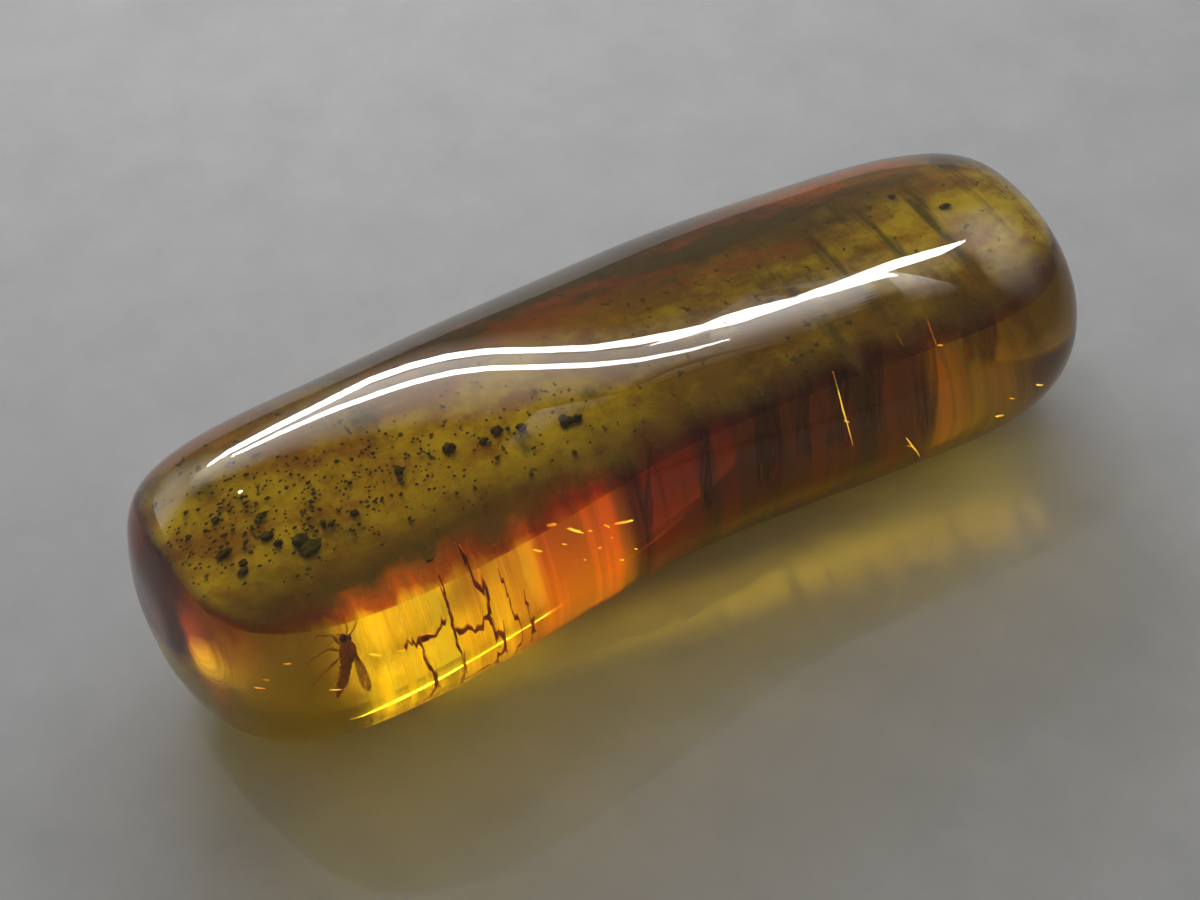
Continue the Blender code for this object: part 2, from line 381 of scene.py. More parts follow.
def axes(wire, place):
    """A place's three numbers, each as a wire."""
    parts = wire.node("SeparateXYZ", {}, {0: place}).socket.node.outputs
    return [Wire(wire.tree, part) for part in parts]


def millimetre_axes(wire):
    """The piece's own coordinates, then each of the three in mm."""
    here = own_place(wire)
    return here, *(part * (1 / MM) for part in axes(wire, here))


def sheet_axes(wire):
    """Shares along and across a sheet, 0 to 1, from its UV map."""
    return axes(wire, wire.node("TexCoord", out=2))[:2]


flow = new_sheet("flow_layer", *LAYER_GRID, layer_point)
silt, wire = new_material("silt")
here, x, y, _ = millimetre_axes(wire)
cloud = noise(wire, here, 260.0, 6.0, 0.62)
patch = noise(wire, here, 420.0, 5.0, 0.65, (0.7, 1.2, 1))
smear = noise(wire, here, 90.0, 4.0, 0.6, (0.5, 1.4, 1))
dust = noise(wire, here, 1900.0, 2.0, 0.5)
streak = noise(wire, here, 300.0, 5.0, 0.65, (0.35, 1.5, 1))
comb = noise(wire, here, 600.0, 4.0, 0.6, (1, 0.15, 1))
back = y.shaken(smear, 5.0).clip(*SILT_BACK)
front = y.shaken(smear, 3.0).shaken(cloud, 3.0).clip(*SILT_FRONT)
colour = blend(wire, patch.clip(0.42, 0.60), SILT_OLIVE, SILT_OCHRE)
umber = x.clip(*UMBER_FROM) * (1 - x.clip(*UMBER_TO))
umber = umber * (patch * 0.6 + streak * 0.5).clip(0.42, 0.58, 0.35, 0.95)
colour = blend(wire, umber, colour, SILT_UMBER)
colour = blend(wire, x.clip(*COMBED_FROM) * comb.clip(0.50, 0.60, 0.0, 0.8), colour, SILT_DARK)
deep = y.shaken(cloud, 2.0).clip(*SILT_DEEP_BACK)
streaks = blend(wire, streak.clip(0.48, 0.60), SILT_BACK_DARK, SILT_BACK_RED)
colour = blend(wire, back, colour, blend(wire, deep * 0.8, streaks, SILT_BACK_DARK))
colour = blend(wire, front, SILT_BROWN, colour)
dark = cloud.clip(0.58, 0.70, 0.0, 0.8).most(dust.clip(0.66, 0.70, 0.0, 0.9))
colour = blend(wire, dark, colour, SILT_DARK)
rim, edge = sheet_axes(wire)
ragged = edge.shaken(comb, 0.30)
inside = ragged.clip(0.02, 0.18) * rim.shaken(cloud, 0.03).clip(0.0, 0.02)
scorched = ragged.clip(-0.05, 0.06)
cover = cloud.clip(0.34, 0.46, 0.70, 0.99)
dusty = layered(wire, cover, sheer(wire, SILT_TINT), matter(wire, colour, SILT_ROUGHNESS))
thin_edge = layered(wire, scorched, sheer(wire), sheer(wire, SILT_THIN))
put_out(wire, lamplit(
    wire, layered(wire, inside, thin_edge, dusty),
    layered(wire, inside, sheer(wire), sheer(wire, SILT_LAMPLIGHT)),
))
flow.data.materials.append(silt)
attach(flow, "root")

# ---- the weathered skin ----------------------------------------------
# The underside and the lower back keep a thin weathered skin just under the polish: golden, then
# deep red and brown, and nearly opaque where soil is caught in it. At the left it is ground away
# in a window, whose face is frosted along fine combed lines.
SKIN_DEPTH = 0.15 * MM
SKIN_TOP, SKIN_FRONT = 7.5, -5.5  # mm: it reaches no higher and no nearer
SKIN_FADE = (4.8, 6.8)  # mm high: it gives out on the back
WINDOW_END, WINDOW_BACK = -10.0, 3.8  # mm: clear left of the one and nearer than the other
LEFT_END = (-12.0, -8.0)  # mm along: its back is brown left of this
SKIN_SPAN = (-12.0, 24.0)  # mm along: where the colours below start and end
SKIN_TINTS = (
    (0.0, (0.98, 0.55, 0.07, 1)), (0.10, (0.92, 0.24, 0.03, 1)), (0.28, (0.75, 0.10, 0.02, 1)),
    (0.42, (0.52, 0.08, 0.01, 1)), (0.62, (0.48, 0.13, 0.015, 1)), (0.88, (0.46, 0.20, 0.025, 1)),
    (1.0, (0.24, 0.15, 0.02, 1)),
)
SKIN_SOIL, SKIN_LAMPLIGHT = (0.045, 0.020, 0.004, 1), (0.42, 0.40, 0.11, 1)
SKIN_ROUGHNESS, SOIL_ROUGHNESS = 0.7, 0.8
FROST, FROST_OLIVE, FROST_SHARE = (0.92, 0.80, 0.14, 1), (0.30, 0.36, 0.03, 1), (0.12, 0.75)
FROST_RISE, FROST_TOP = (0.35, 0.90), (2.5, 4.0)  # mm high: it thickens, and gives out
FROST_END, FROST_GOLD = (-17.6, -16.0), (-17.4, -15.6)  # mm along: thick, then golden
WINDOW_AMBER, WINDOW_LAMPLIGHT = (1.0, 0.55, 0.10, 1), (0.90, 0.86, 0.50, 1)
END_BROWN, HIGH_BROWN = (0.50, 0.21, 0.03, 1), (0.07, 0.022, 0.005, 1)
HIGH, FAR_BACK = (2.5, 4.5), (4.8, 5.8)  # mm high and to the back: where it turns darkest
THIN_END, THINNING = (18.5, 22.5), 0.12  # mm along: it thins a little at the right end


def pick_only(thing):
    """Object mode: leaves just one thing chosen and active."""
    unpick()
    thing.select_set(True)
    bpy.context.view_layer.objects.active = thing


pick_only(amber)
bpy.ops.object.duplicate()
skin = bpy.context.object
skin.name = "weathered_skin"
skin.data.materials.clear()
for key in [key for key in skin.keys() if key.startswith("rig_")]:  # what the amber declared
    del skin[key]
bpy.ops.object.mode_set(mode="EDIT")
bpy.ops.mesh.select_all(action="SELECT")
bpy.ops.transform.shrink_fatten(value=-SKIN_DEPTH)
choose(skin, lambda co: co.z > SKIN_TOP * MM or co.y < SKIN_FRONT * MM)
bpy.ops.mesh.delete(type="VERT")
bpy.ops.object.mode_set(mode="OBJECT")

weathered, wire = new_material("weathered skin")
here, x, y, z = millimetre_axes(wire)
cloud = noise(wire, here, 300.0, 6.0, 0.62)
smear = noise(wire, here, 420.0, 5.0, 0.62, (1.0, 0.16, 0.16))
comb = noise(wire, here, 1500.0, 4.0, 0.6, (1.0, 0.10, 0.10))
right = x.shaken(cloud, 7.0).shaken(smear, 4.0).clip(WINDOW_END - 2.0, WINDOW_END + 3.0)
back = y.shaken(cloud, 1.6).shaken(smear, 1.2).clip(WINDOW_BACK - 0.3, WINDOW_BACK + 0.5)
skinned = right.most(back) * (1 - z.shaken(cloud, 2.5).clip(*SKIN_FADE))
there = skinned * (1 - x.shaken(smear, 6.0).clip(*THIN_END, 0.0, THINNING))
along = x.shaken(smear, 7.0).shaken(cloud, 3.0).clip(*SKIN_SPAN)
tint = wire.node("ValToRGB", {"stops": SKIN_TINTS}, {0: along})
past_left = x.clip(*LEFT_END)
tint = blend(wire, back * (1 - past_left), tint, END_BROWN)
high = z.clip(*HIGH).most(y.clip(*FAR_BACK)) * past_left
tint = blend(wire, high * 0.9, tint, HIGH_BROWN)
dirt = (smear * 1.1 + cloud * 0.4).clip(0.70, 0.84, 0.05, 0.93) * x.clip(-10.0, 3.0, 0.35, 1.0)
bands = noise(wire, here, 230.0, 3.0, 0.5, (1.0, 0.12, 0.12))
dirt = dirt.most(bands.clip(0.54, 0.62, 0.0, 0.95) * x.clip(-2.0, 3.0))
body = x.clip(-11.0, -7.5, 0.3, 0.8) - x.clip(-2.0, 4.0, 0.0, 0.4)
frosted = (comb * 0.8 + smear * 0.4).clip(0.52, 0.76, *FROST_SHARE)
rising = z.clip(*FROST_RISE, 0.0, 0.9) * comb.clip(0.40, 0.60, 0.25, 1.0)
frosted = frosted.most(rising).most(x.clip(*FROST_END, 0.9, 0.0)) * (1 - z.clip(*FROST_TOP))
frosting = blend(wire, x.shaken(comb, 4.0).clip(*FROST_GOLD), FROST_OLIVE, FROST)
milky = wire.node("BsdfTranslucent", {}, {"Color": FROST})
frost = layered(wire, 0.7, milky, matter(wire, frosting, SKIN_ROUGHNESS))
glaze = blend(wire, (smear * 0.8 + cloud * 0.5).clip(0.58, 0.76), (1, 1, 1, 1), WINDOW_AMBER)
window = layered(wire, frosted, sheer(wire, glaze), frost)
stained = layered(wire, body, sheer(wire, tint), matter(wire, tint, SKIN_ROUGHNESS))
dirty = layered(wire, dirt, stained, matter(wire, SKIN_SOIL, SOIL_ROUGHNESS))
pale = layered(wire, skinned, sheer(wire, WINDOW_LAMPLIGHT), sheer(wire, SKIN_LAMPLIGHT))
put_out(wire, lamplit(wire, layered(wire, there, window, dirty), pale))
skin.data.materials.append(weathered)
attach(skin, "root")

# ---- soil specks -----------------------------------------------------
# Crumbs of soil and bark dust that stuck to the earlier coat, nearly black, most of them in the
# left third. Each is an uneven crumb that lies on the flow layer: the large ones one by one, the
# fine ones strewn over the same stretch.
FRAME_WIDTH, FRAME_HEIGHT = 1200, 900  # the camera's; places in it count from its top left
SPECKS = (  # place across and down in the frame, width in mm
    (215, 520, 0.40), (225, 553, 0.45), (243, 571, 0.35), (267, 535, 0.50), (278, 543, 0.40),
    (300, 541, 0.80), (309, 548, 0.70), (323, 523, 0.35), (354, 512, 0.40), (337, 462, 0.30),
    (398, 470, 0.45), (448, 447, 0.62), (484, 440, 0.35), (497, 430, 0.50), (508, 428, 0.30),
    (521, 427, 0.40), (566, 421, 0.70), (577, 418, 0.55), (575, 452, 0.30), (945, 206, 0.55),
    (892, 196, 0.40), (155, 505, 0.30), (243, 563, 0.45), (430, 560, 0.30), (262, 515, 0.35),
)
SPECK_COUNT = 700  # in all
STREWN_HEART, STREWN_REACH = (310, 500), (125, 34)  # in the frame: middle, spread
STREWN_SLANT = -0.28  # frame rise of the strewn band to the right
STREWN_SIZE = (0.06, 0.26)  # mm
LUMP_WIDTH, SPECK_LIFT, CRUMB_FLATNESS = 0.3, 0.12 * MM, 0.6
SPECK_ROUGHNESS = 0.85
SOIL_DARK, SOIL_PALE = (0.012, 0.007, 0.003, 1), (0.05, 0.028, 0.008, 1)
chance = random.Random(7)


def bend_in(way, normal, ratio):
    """A line of sight bent where it crosses into a denser or a thinner stuff."""
    cosine = -way.dot(normal)
    turned = ratio * cosine - math.sqrt(1 - ratio ** 2 * (1 - cosine ** 2))
    return (ratio * way + turned * normal).normalized()


def sight_line(across, down):
    """The camera's line of sight through a place in its frame."""
    reach = FRAME_WIDTH * CAMERA_LENS / CAMERA_SENSOR
    way = Vector((across - FRAME_WIDTH / 2, FRAME_HEIGHT / 2 - down, -reach))
    way.rotate(camera.rotation_euler)
    return way.normalized()


def sight(across, down):
    """Where the line of sight through a place in the frame enters the amber, and its way in."""
    way = sight_line(across, down)
    hit, enter, normal, _ = amber.ray_cast(camera.location, way)
    return (enter, bend_in(way, normal, 1 / AMBER_IOR)) if hit else None


def on_layer(across, down, lift=0.0):
    """The point of the flow layer that shows at a place in the frame, or None."""
    seen = sight(across, down)
    if not seen:
        return None
    enter, way = seen
    fall = math.tan(math.radians(LAYER_TILT))
    gap = LAYER_HEIGHT * MM + lift - fall * enter.x - enter.z
    depth = gap / (way.z + fall * way.x)
    return enter + way * depth if depth > 0.3 * MM else None


def coarse_ball(subdivisions):
    """A ball one across, of few faces."""
    unpick()
    bpy.ops.mesh.primitive_ico_sphere_add(subdivisions=subdivisions, radius=0.5)
    return bpy.context.object


def crumb(first, place, width):
    """A copy of a coarse ball whose points are pushed in and out."""
    made = first.copy()
    made.data = first.data.copy()
    bpy.context.scene.collection.objects.link(made)
    turn = Euler([chance.uniform(0, 2 * math.pi) for _ in range(3)])
    stretch = Vector((chance.uniform(0.8, 1.5), chance.uniform(0.6, 1.0), CRUMB_FLATNESS)) * width
    for vert in made.data.vertices:
        point = vert.co * chance.uniform(0.7, 1.2)
        point.rotate(turn)
        vert.co = Vector(a * b for a, b in zip(point, stretch)) + place
    return made


def join_as(name, made):
    """Object mode: joins things into one and names it."""
    unpick()
    for thing in made:
        thing.select_set(True)
    bpy.context.view_layer.objects.active = made[0]
    bpy.ops.object.join()
    made[0].name = name
    return made[0]


lump, grain = coarse_ball(2), coarse_ball(1)
made = []
for across, down, width in SPECKS:
    place = on_layer(across, down, SPECK_LIFT)
    if place:
        made.append(crumb(lump if width > LUMP_WIDTH else grain, place, width * MM))
while len(made) < SPECK_COUNT:
    aside = chance.gauss(0, STREWN_REACH[0])
    across = STREWN_HEART[0] + aside
    down = STREWN_HEART[1] + STREWN_SLANT * aside + chance.gauss(0, STREWN_REACH[1])
    place = on_layer(across, down, SPECK_LIFT)
    if place:
        size = chance.uniform(*STREWN_SIZE) * chance.uniform(0.5, 1.0)
        made.append(crumb(grain, place, size * MM))
for thing in (lump, grain):
    bpy.data.objects.remove(thing)
specks = join_as("soil_specks", made)
soil, wire = new_material("soil")
earth = blend(wire, noise(wire, own_place(wire), 2500.0), SOIL_DARK, SOIL_PALE)
put_out(wire, matter(wire, earth, SPECK_ROUGHNESS))
specks.data.materials.append(soil)
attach(specks, "root")

# ---- cracks in the skin ----------------------------------------------
# The frosted face under the bright window has dried and cracked. The cracks are dark red-brown
# threads, jagged and uneven in width, that lie just inside the far side of the amber.
CRACKS = (  # each a run of places in the frame, then its width in mm
    ((463, 556), (470, 570), (476, 581), (488, 592), (489, 606), (490, 620), (499, 636),
     (508, 650), 0.19),
    ((490, 620), (478, 627), (468, 628), (456, 633), 0.17),
    ((440, 580), (444, 598), (450, 615), (453, 625), (456, 635), (462, 655), (468, 675), 0.18),
    ((404, 645), (411, 642), (419, 643), (430, 636), (440, 625), (446, 618), 0.15),
    ((419, 643), (426, 660), (434, 672), (440, 690), 0.17),
    ((500, 572), (506, 590), (512, 612), (522, 630), 0.12),
    ((524, 590), (528, 610), (536, 628), 0.11),
)
CRACK_INSET, CRACK_ROUGHNESS = 0.35 * MM, 0.7
CRACK_JITTER, CRACK_KINKS = 1.6, 3  # frame places; kinks from one place to the next
CRACK_THINNEST, CRACK_WIDEST, CRACK_TIP = 0.30, 0.95, 0.3  # shares of its width
CRACK_TINT = (0.60, 0.16, 0.02, 1)
CRACK_DARK, CRACK_RED = (0.12, 0.014, 0.004, 1), (0.30, 0.07, 0.01, 1)


def far_side(across, down):
    """The point just inside the far side of the amber that shows at a place in the frame."""
    enter, way = sight(across, down)
    _, leave, _, _ = amber.ray_cast(enter + way * 0.1 * MM, way)
    return leave - way * CRACK_INSET


def threads(name, runs, sides=2):
    """Tubes with closed ends as one mesh, each from a run of points and their widths."""
    curve = bpy.data.curves.new(name, "CURVE")
    curve.dimensions = "3D"
    curve.bevel_depth = 1.0
    curve.bevel_resolution = sides
    curve.use_fill_caps = True
    for places, widths in runs:
        spline = curve.splines.new("POLY")
        spline.points.add(len(places) - 1)
        for point, place, width in zip(spline.points, places, widths):
            point.co = (*place, 1.0)
            point.radius = width / 2
    made = bpy.data.objects.new(name, curve)
    bpy.context.scene.collection.objects.link(made)
    pick_only(made)
    bpy.ops.object.convert(target="MESH")
    bpy.context.object.data.shade_smooth()
    return bpy.context.object


def split_finely(path, pieces):
    """More places along a path, each shaken a little from the straight."""
    fine = []
    for near, far in zip(path, path[1:]):
        for step in range(pieces):
            share = step / pieces
            shake = CRACK_JITTER if step else 0
            fine.append(tuple(
                part_way(a, b, share) + chance.uniform(-shake, shake) for a, b in zip(near, far)
            ))
    return fine + [path[-1]]


runs = []
for *path, width in CRACKS:
    fine = split_finely(path, CRACK_KINKS)
    widths = [width * MM * chance.uniform(CRACK_THINNEST, CRACK_WIDEST) for _ in fine]
    widths[-1] *= CRACK_TIP
    runs.append(([far_side(*place) for place in fine], widths))
cracks = threads("skin_cracks", runs)
dried, wire = new_material("dried skin")
patch = noise(wire, own_place(wire), 1500.0)
put_out(wire, layered(
    wire, patch.clip(0.35, 0.6, 0.55, 0.95), sheer(wire, CRACK_TINT),
    matter(wire, blend(wire, patch, CRACK_DARK, CRACK_RED), CRACK_ROUGHNESS),
))
cracks.data.materials.append(dried)
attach(cracks, "root")

# ---- sun spangles ----------------------------------------------------
# Small stress flakes in the resin that flash like gold leaf where they catch the light, and that
# also glow a little by themselves, a painted glint. Most are slim dished flakes that lie nearly
# level, as the coats do;
# a few slivers stand upright, edge on.
# Place across and down in the frame, width in mm, depth in mm along the line of sight, draw-out.
SPANGLES = (
    (552, 525, 0.38, 6.5, 1.6), (575, 530, 0.42, 6.5, 2.4), (590, 530, 0.25, 6.6, 1.0),
    (607, 525, 0.30, 6.5, 1.3), (623, 522, 0.47, 6.2, 2.6), (636, 548, 0.20, 6.4, 1.2),
    (622, 560, 0.28, 6.4, 1.2), (538, 550, 0.30, 6.8, 1.8), (600, 548, 0.23, 6.5, 1.0),
    (565, 545, 0.20, 6.5, 1.4), (585, 560, 0.17, 6.5, 1.0), (612, 538, 0.15, 6.5, 1.0),
    (288, 664, 0.20, 4.0, 1.6), (258, 688, 0.23, 3.0, 2.0), (267, 680, 0.17, 3.2, 1.5),
    (375, 655, 0.45, 5.5, 1.4), (335, 690, 0.35, 4.0, 1.6), (402, 650, 0.30, 6.0, 1.2),
    (955, 262, 0.17, 3.0, 1.0), (968, 258, 0.15, 3.0, 1.0), (982, 262, 0.17, 3.0, 1.0),
    (995, 270, 0.15, 3.0, 1.0), (1008, 281, 0.17, 3.0, 1.0), (937, 270, 0.17, 3.0, 1.2),
    (940, 345, 0.30, 5.0, 1.2), (905, 300, 0.15, 4.0, 1.0), (884, 318, 0.15, 4.0, 1.0),
    (1000, 415, 0.35, 4.5, 1.6), (1040, 385, 0.40, 3.0, 1.4), (1012, 398, 0.25, 3.5, 1.8),
    (833, 372, 0.15, 4.5, 1.0), (846, 420, 0.17, 6.0, 2.2), (910, 447, 0.23, 5.0, 1.8),
)
SLIVERS = (  # places in the frame
    ((833, 372), (843, 410), (853, 446)), ((889, 318), (897, 334), (903, 346)),
    ((915, 290), (928, 322), (937, 347)), ((906, 437), (913, 447), (920, 456)),
)
SLIVER_WIDTHS, SLIVER_DEPTH = (0.027, 0.09, 0.018), 4.5  # mm, from the top down
SPANGLE_LEAN, SPANGLE_SWAY = Vector((0.16, -0.02, 0.99)), 0.10
SPANGLE_HEADING = (-0.9, -0.1)  # radians
SPANGLE_CORNERS, SPANGLE_DISH, SPANGLE_SLIM = 14, 0.10, 0.4  # its dish and slimness are shares
GOLD_PALE, GOLD_DEEP = (1.0, 0.80, 0.24, 1), (1.0, 0.42, 0.05, 1)
# the flakes' own glow is painted light: an emission, not a lamp's reflection
GOLD_ROUGHNESS, SPANGLE_PAINTED_GLOW = 0.25, 1.1


def at_depth(across, down, depth):
    """The point that lies so many mm behind the polish, at a place in the frame."""
    enter, way = sight(across, down)
    return enter + way * depth * MM


def spangle(place, width, length):
    """A dished disc with an uneven rim, nearly level."""
    unpick()
    bpy.ops.mesh.primitive_circle_add(
        vertices=SPANGLE_CORNERS, radius=width / 2, fill_type="TRIFAN"
    )
    disc = bpy.context.object
    lean = SPANGLE_LEAN + Vector([chance.uniform(-SPANGLE_SWAY, SPANGLE_SWAY) for _ in range(3)])
    turn = Vector((0, 0, 1)).rotation_difference(lean)
    heading = Euler((0, 0, chance.uniform(*SPANGLE_HEADING)))
    for vert in disc.data.vertices:
        point = vert.co * chance.uniform(0.75, 1.1)
        out = point.length / (width / 2)
        dish = SPANGLE_DISH * width * (1 - out ** 2)
        point = Vector((point.x * length, point.y * SPANGLE_SLIM, -dish))
        point.rotate(heading)
        point.rotate(turn)
        vert.co = point + place
    return disc


slivers = threads("slivers", [
    ([at_depth(*place, SLIVER_DEPTH) for place in path], [width * MM for width in SLIVER_WIDTHS])
    for path in SLIVERS
], 1)
spangles = join_as("sun_spangles", [slivers] + [
    spangle(at_depth(across, down, depth), width * MM, length)
    for across, down, width, depth, length in SPANGLES
])
spangles.data.shade_smooth()
gold, wire = new_material("spangle gold")
tone = blend(wire, noise(wire, own_place(wire), 900.0).clip(0.4, 0.6), GOLD_PALE, GOLD_DEEP)
# real metal reflection, plus a painted glint: the gold tone is also emitted as light
put_out(wire, matter(wire, tone, GOLD_ROUGHNESS, {
    "Metallic": 1.0, "Emission Color": tone, "Emission Strength": SPANGLE_PAINTED_GLOW,
}))
spangles.data.materials.append(gold)
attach(spangles, "root")

# ---- stained cracks --------------------------------------------------
# Old cracks stand upright across the right half like curtains, thin, wavy and stained brown with
# humus. They have no thickness to speak of, and fray out towards their edges.
CURTAINS = (  # in the frame: across at the near side, at the far side, top and bottom
    (752, 784, 366, 500), (700, 712, 400, 520), (795, 812, 352, 470), (826, 851, 360, 455),
    (862, 884, 330, 440), (912, 940, 330, 442), (960, 1000, 285, 372), (645, 652, 440, 540),
)
CURTAIN_DEPTHS = (1.2, 7.5)  # mm along the line of sight, near and far side
CURTAIN_WAVE, CURTAIN_GRID = 1.5, (12, 30)  # frame places
CURTAIN_ROUGHNESS = 0.6
HUMUS, RUST = (0.016, 0.012, 0.003, 1), (0.30, 0.06, 0.006, 1)


def curtain(number, near, far, top, bottom):
    """A wavy sheet from its near side to its far side, and from its bottom to its top."""
    def place(u, v):
        across = part_way(near, far, u) + CURTAIN_WAVE * math.sin(9 * v + 5 * u + number)
        return at_depth(across, part_way(bottom, top, v), part_way(*CURTAIN_DEPTHS, u))
    return new_sheet(f"curtain {number}", *CURTAIN_GRID, place)


curtains = join_as("stained_cracks", [curtain(number, *row) for number, row in enumerate(CURTAINS)])
stain, wire = new_material("humus stain")
fray = noise(wire, own_place(wire), 500.0, 5.0, 0.6, (1, 1, 0.35))
u, v = sheet_axes(wire)
rim = (u * (1 - u) * 4).clip(0.0, 0.5) * (v * (1 - v) * 4).clip(0.0, 0.6)
cover = (fray + rim * 0.4 - 0.4).clip(0.24, 0.56, 0.0, 0.75)
tone = blend(wire, fray.clip(0.5, 0.62), HUMUS, RUST)
put_out(wire, layered(wire, cover, sheer(wire), matter(wire, tone, CURTAIN_ROUGHNESS)))
curtains.data.materials.append(stain)
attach(curtains, "root")

# ---- the gnat --------------------------------------------------------
# A fungus gnat about 2.6 mm long that stuck to the earlier coat, now sealed under its drop. Brown
# chitin: humped thorax, small head with large eyes, ringed abdomen, two veined wings and six
# jointed legs. It is shaped in mm in its own frame, head to +X and back to +Z, then laid in place.
GNAT_PLACE, GNAT_TURN = Vector((-19.0, -4.4, 6.7)) * MM, (62.0, -42.0, 58.0)
THORAX, THORAX_RADII = (0.42, 0.0, 0.08), (0.42, 0.31, 0.37)
HEAD, HEAD_RADII = (0.88, 0.0, -0.10), (0.19, 0.22, 0.21)
NECK, NECK_RADII = (0.74, 0.0, -0.04), (0.10, 0.10, 0.10)
SCUTELLUM, SCUTELLUM_RADII = (0.06, 0.0, 0.26), (0.13, 0.15, 0.09)
EYE, EYE_RADII = (0.92, 0.15, -0.06), (0.14, 0.10, 0.16)
ABDOMEN_RINGS, ABDOMEN_START, ABDOMEN_END = 7, (0.04, 0.02), (-1.36, -0.26)
ABDOMEN_GIRTH, RING_LENGTH, RING_GAP = (0.27, 0.10), 0.15, 0.11
HALTERE = ((0.16, 0.20, 0.10), (0.12, 0.26, 0.08), (0.10, 0.30, 0.06))
HALTERE_WIDTHS, HALTERE_KNOB = (0.03, 0.03, 0.03), (0.05, 0.07, 0.05)
PALP = ((0.98, 0.06, -0.22), (1.06, 0.09, -0.34), (1.04, 0.10, -0.44))
PALP_WIDTHS = (0.06, 0.055, 0.03)
WING_LENGTH, WING_WIDTH, WING_WAIST, WING_SKIN = 1.95, 0.86, 0.45, 0.012
WING_RIPPLE, WING_CROWN, WING_GRID = 0.012, 0.02, (40, 20)
WING_ROOT, WING_SWEEP, WING_LIFT = (0.42, 0.17, 0.26), 160.0, 12.0
WING_VEINS = (  # where each starts and ends: share along, share across
    ((0.03, 0.60), (0.30, 0.93), (0.70, 0.985), (0.97, 0.72)),
    ((0.03, 0.55), (0.30, 0.80), (0.62, 0.93)),
    ((0.03, 0.52), (0.35, 0.68), (0.75, 0.72), (0.98, 0.60)),
    ((0.40, 0.67), (0.70, 0.58), (0.99, 0.48)),
    ((0.03, 0.46), (0.35, 0.46), (0.62, 0.32), (0.93, 0.26)),
    ((0.03, 0.40), (0.30, 0.26), (0.62, 0.07)),
    ((0.35, 0.68), (0.38, 0.46)),
)
LEGS = (  # hip, knee, ankle, toe
    ((0.62, 0.13, -0.16), (0.98, 0.42, -0.34), (1.02, 0.52, -0.98), (0.78, 0.50, -1.26)),
    ((0.45, 0.16, -0.20), (0.50, 0.62, -0.30), (0.24, 0.66, -1.02), (-0.08, 0.62, -1.28)),
    ((0.26, 0.13, -0.16), (-0.22, 0.56, -0.34), (-0.76, 0.62, -0.90), (-1.14, 0.62, -1.06)),
)
HIP_WIDTH, KNEE_WIDTH, SHIN_WIDTH, TOE_WIDTH = 0.105, 0.085, 0.058, 0.030
RIGHT_LEG_SPREAD, TOE_JOINTS, SHIN_STEPS = 0.88, 10, 12
FEELER = ((1.00, 0.08, 0.04), (1.26, 0.20, 0.22), (1.54, 0.38, 0.20))
FEELER_BEADS, BEAD_WIDTH, BEAD_NECK = 13, 0.052, 0.026
VEIN_WIDTHS, VEIN_STEPS = (0.036, 0.018), 14
HAIR_WIDTH = 0.011
RING_HAIR, HUMP_HAIR, PLUME_HAIR, SHIN_HAIR = 0.12, 0.16, 0.085, 0.07  # lengths
SPURS = (((0.2, 0.3, -1), 0.16), ((-0.4, 0.2, -1), 0.13))  # way, length
CHITIN_DARK, CHITIN_PALE = (0.22, 0.085, 0.020, 1), (0.55, 0.26, 0.06, 1)
LIMB_PALE, CHITIN_GLOW = (0.7, 0.40, 0.10, 1), (0.95, 0.55, 0.12, 1)
EYE_RED, EYE_RIDGE = (0.09, 0.018, 0.010, 1), (0.16, 0.03, 0.015, 1)
WING_BROWN, WING_CLEAR = (0.40, 0.22, 0.07, 1), (0.95, 0.88, 0.70, 1)


def between(path, share):
    """A place along a run of points, share 0 at its start and 1 at its end."""
    place = share * (len(path) - 1)
    step = min(int(place), len(path) - 2)
    near, far = path[step], path[step + 1]
    return tuple(part_way(a, b, place - step) for a, b in zip(near, far))


def on_side(path, side):
    """A run of points on the gnat's left, or its like on the right where side is below 0."""
    return [(x, side * y, z) for x, y, z in path]


def round_body(turn):
    """Aside and up on a circle round the body, from a turn in degrees."""
    return math.cos(math.radians(turn)), math.sin(math.radians(turn))


def ball(place, radii, sectors=20, rings=12):
    """A smooth ball in the gnat's frame: middle and radii in mm."""
    unpick()
    bpy.ops.mesh.primitive_uv_sphere_add(segments=sectors, ring_count=rings, radius=1)
    made = bpy.context.object
    for vert in made.data.vertices:
        vert.co = Vector(middle + c * r for middle, c, r in zip(place, vert.co, radii)) * MM
    made.data.shade_smooth()
    return made


def in_metres(places, widths):
    """A run of points and its widths, from mm."""
    return [Vector(place) * MM for place in places], [width * MM for width in widths]


def hair(root, way, length):
    """A run of points for one bristle that bends a little and ends in a point."""
    root, way = Vector(root), Vector(way).normalized()
    droop = Vector((-0.25, 0, -0.15)) * length
    return in_metres(
        [root, root + way * length * 0.5, root + way * length + droop],
        [HAIR_WIDTH, HAIR_WIDTH * 0.8, HAIR_WIDTH * 0.2],
    )


shell, eyes, limbs, hairs, membranes, veins = [], [], [], [], [], []
shell.append(ball(THORAX, THORAX_RADII, 28, 18))
shell.append(ball(SCUTELLUM, SCUTELLUM_RADII))
shell.append(ball(HEAD, HEAD_RADII))
shell.append(ball(NECK, NECK_RADII))
for number in range(ABDOMEN_RINGS):
    share = number / (ABDOMEN_RINGS - 1)
    along = part_way(ABDOMEN_START[0], ABDOMEN_END[0], share)
    height = part_way(ABDOMEN_START[1], ABDOMEN_END[1], share ** 1.6)
    girth = part_way(*ABDOMEN_GIRTH, share ** 1.8)
    shell.append(ball((along, 0, height), (RING_LENGTH, girth, girth * 0.95), 20, 10))
    fold = (0.10, girth * 0.86, girth * 0.82)
    shell.append(ball((along - RING_GAP, 0, height), fold, 16, 8))
    for turn in range(0, 360, 45):
        out = Vector((-0.3, *round_body(turn)))
        hairs.append(hair(Vector((along - 0.05, 0, height)) + out * girth * 0.9, out, RING_HAIR))
